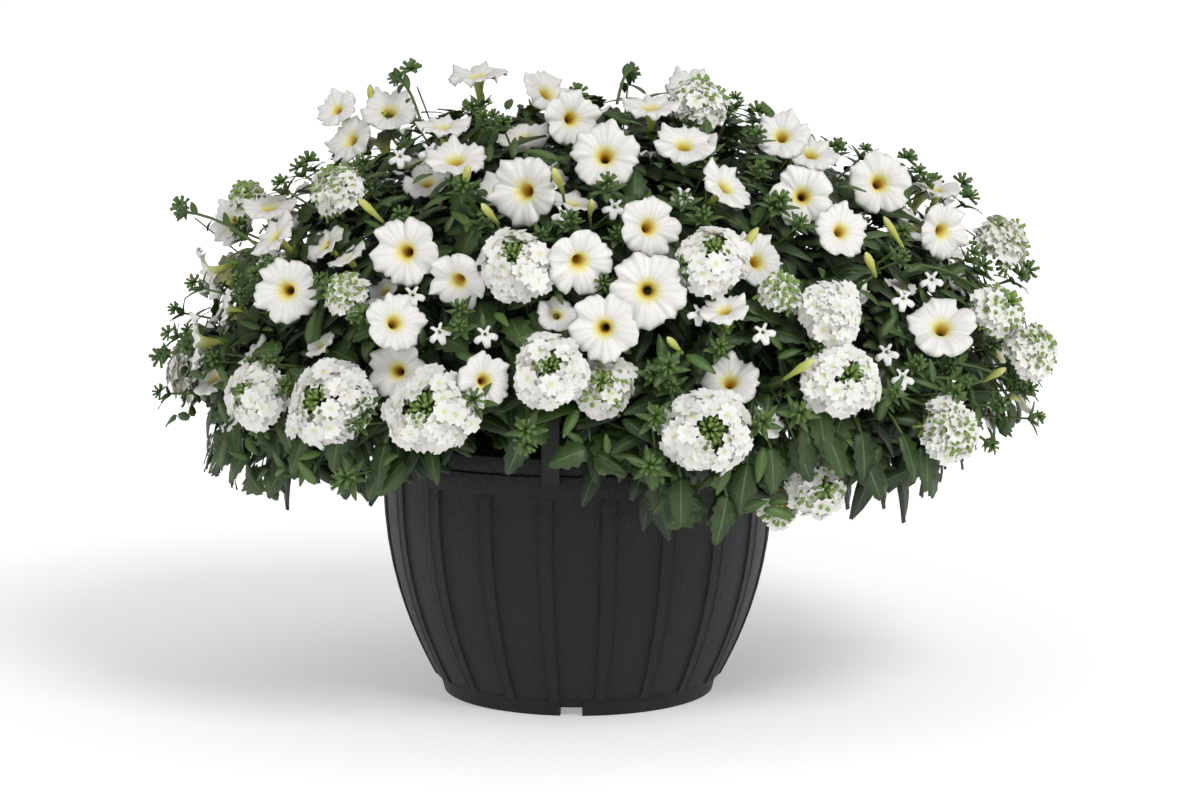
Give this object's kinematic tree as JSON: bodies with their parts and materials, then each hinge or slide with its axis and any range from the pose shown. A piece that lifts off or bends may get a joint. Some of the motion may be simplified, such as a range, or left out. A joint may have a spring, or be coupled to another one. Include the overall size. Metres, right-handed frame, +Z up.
{
  "type": "planted flower basket",
  "caption": "Fluted round plastic patio basket with foot ring, rim clips and soil, planted with a dome of white petunias, verbena heads, lobelia sprigs and trailing leafy shoots.",
  "frame": {"origin": "on the pot's vertical axis at the ground under its foot ring, which is the bottom centre of the whole planted basket", "axes": "+Z up along the pot's axis, +X to the right along the widest reach of the foliage, front of the planting towards -Y"},
  "size_m": [0.7021, 0.5489, 0.4864],
  "materials": {
    "pot_plastic": "satin, finely grained",
    "clip_plastic": "satin, smooth",
    "soil": "matte, crumbly bark and peat compost",
    "petunia_petal": "matte, soft, veined",
    "verbena_petal": "matte, soft",
    "lobelia_petal": "matte, soft",
    "foliage": "satin leaf"
  },
  "bodies": {
    "root": {"leafy_shoot_01": "foliage", "leafy_shoot_02": "foliage", "leafy_shoot_03": "foliage", "leafy_shoot_04": "foliage", "leafy_shoot_05": "foliage", "leafy_shoot_06": "foliage", "leafy_shoot_07": "foliage", "leafy_shoot_08": "foliage", "leafy_shoot_09": "foliage", "leafy_shoot_10": "foliage", "leafy_shoot_11": "foliage", "leafy_shoot_12": "foliage", "leafy_shoot_13": "foliage", "leafy_shoot_14": "foliage", "leafy_shoot_15": "foliage", "leafy_shoot_16": "foliage", "leafy_shoot_17": "foliage", "leafy_shoot_18": "foliage", "leafy_shoot_19": "foliage", "leafy_shoot_20": "foliage", "leafy_shoot_21": "foliage", "lobelia_spray_01": "lobelia_petal", "lobelia_spray_02": "lobelia_petal", "lobelia_spray_03": "lobelia_petal", "lobelia_spray_04": "lobelia_petal", "lobelia_spray_05": "lobelia_petal", "lobelia_spray_06": "lobelia_petal", "petunia_spray_01": "petunia_petal", "petunia_spray_02": "petunia_petal", "petunia_spray_03": "petunia_petal", "petunia_spray_04": "petunia_petal", "petunia_spray_05": "petunia_petal", "petunia_spray_06": "petunia_petal", "petunia_spray_07": "petunia_petal", "petunia_spray_08": "petunia_petal", "petunia_spray_09": "petunia_petal", "petunia_spray_10": "petunia_petal", "petunia_spray_11": "petunia_petal", "petunia_spray_12": "petunia_petal", "petunia_spray_13": "petunia_petal", "petunia_spray_14": "petunia_petal", "petunia_spray_15": "petunia_petal", "petunia_spray_16": "petunia_petal", "petunia_spray_17": "petunia_petal", "petunia_spray_18": "petunia_petal", "pot": "pot_plastic", "rim_clip_back": "clip_plastic", "rim_clip_front": "clip_plastic", "rim_clip_left": "clip_plastic", "rim_clip_right": "clip_plastic", "soil": "soil", "verbena_spray_01": "verbena_petal", "verbena_spray_02": "verbena_petal", "verbena_spray_03": "verbena_petal", "verbena_spray_04": "verbena_petal", "verbena_spray_05": "verbena_petal", "verbena_spray_06": "verbena_petal", "verbena_spray_07": "verbena_petal", "verbena_spray_08": "verbena_petal", "verbena_spray_09": "verbena_petal"}
  },
  "joints": []
}
